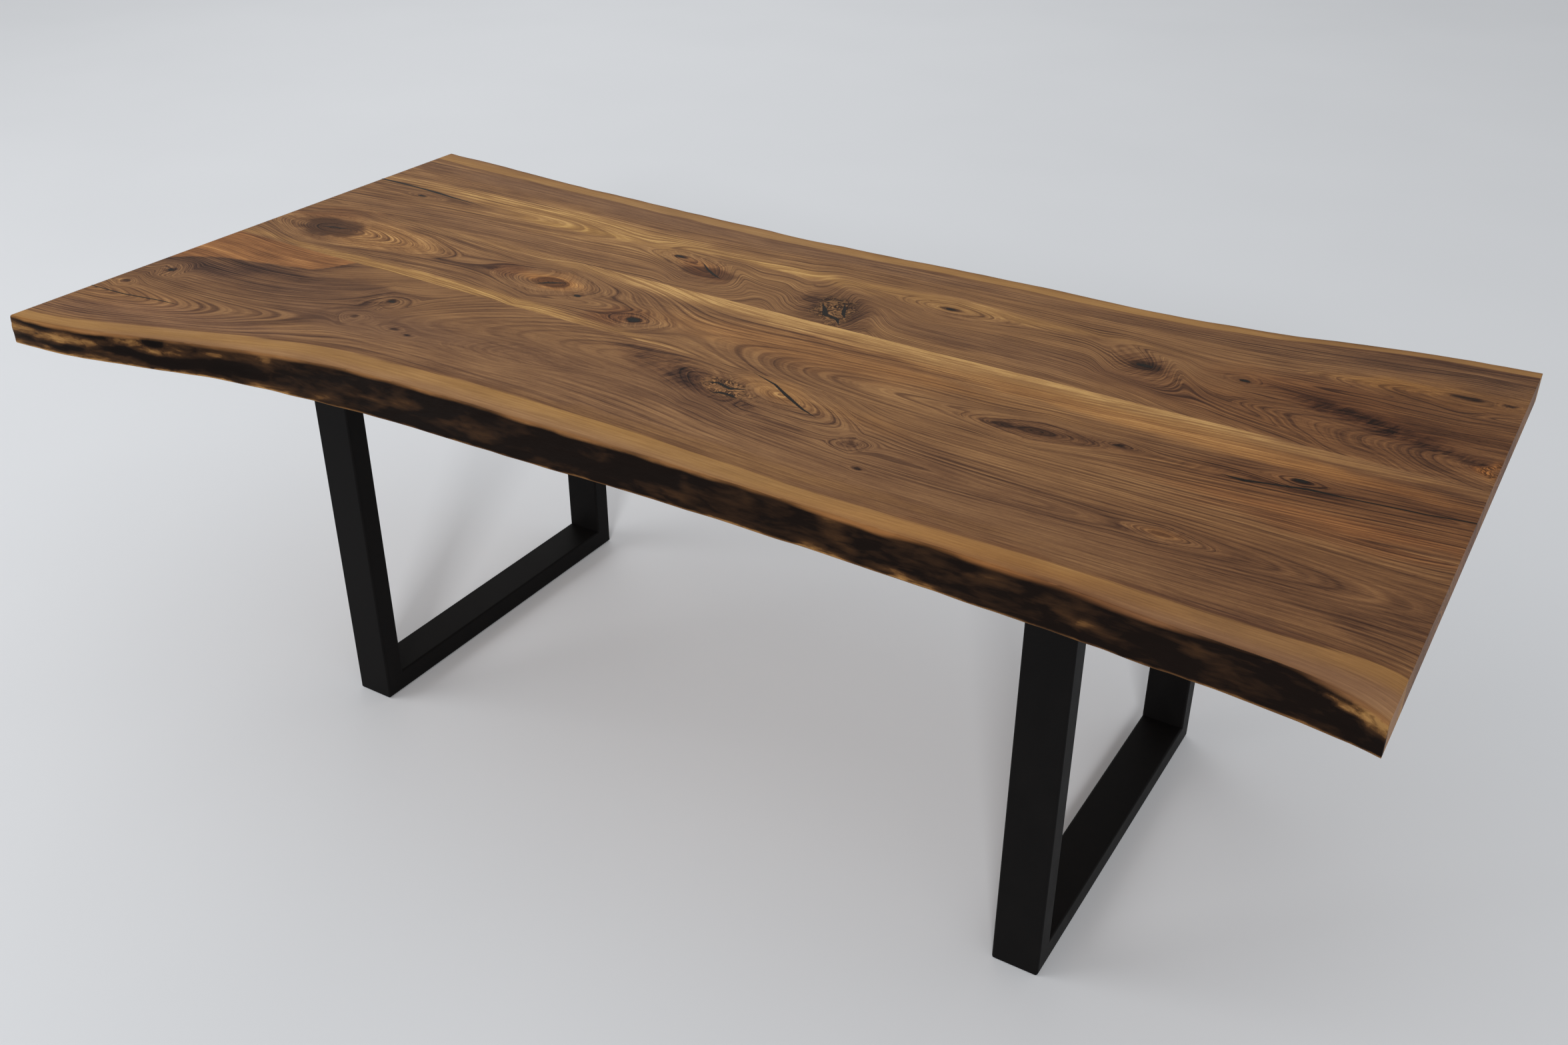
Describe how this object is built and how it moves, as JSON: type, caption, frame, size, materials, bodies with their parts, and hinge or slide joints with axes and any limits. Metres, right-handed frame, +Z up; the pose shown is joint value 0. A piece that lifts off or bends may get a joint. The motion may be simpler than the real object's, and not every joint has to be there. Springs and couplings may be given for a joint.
{
  "type": "live-edge dining table",
  "caption": "Long live-edge wooden dining table: thick edge-glued plank top with natural side edges on rectangular flat-tube steel leg frames.",
  "frame": {"origin": "on the floor, under the middle of the top's bounding box", "axes": "+X along the table from its left end to its right end, +Y from the near live edge to the far one, +Z up"},
  "size_m": [2.22, 1.11, 0.76],
  "materials": {
    "walnut": "oiled, satin",
    "black_resin": "satin",
    "beech": "unfinished",
    "black_steel": "matte powder coat",
    "zinc_steel": "zinc plated",
    "felt": "pressed felt"
  },
  "bodies": {
    "root": {"far_board": "walnut", "middle_board": "walnut", "near_board": "walnut", "far_board_resin": "black_resin", "middle_board_resin": "black_resin", "near_board_resin": "black_resin", "far_joint_tenons": "beech", "near_joint_tenons": "beech", "left_front_upright": "black_steel", "left_rear_upright": "black_steel", "left_foot_rail": "black_steel", "left_mounting_plate": "black_steel", "left_plate_bolts": "zinc_steel", "left_plate_washers": "zinc_steel", "left_threaded_inserts": "zinc_steel", "left_felt_pads": "felt", "right_front_upright": "black_steel", "right_rear_upright": "black_steel", "right_foot_rail": "black_steel", "right_mounting_plate": "black_steel", "right_plate_bolts": "zinc_steel", "right_plate_washers": "zinc_steel", "right_threaded_inserts": "zinc_steel", "right_felt_pads": "felt"}
  },
  "joints": []
}
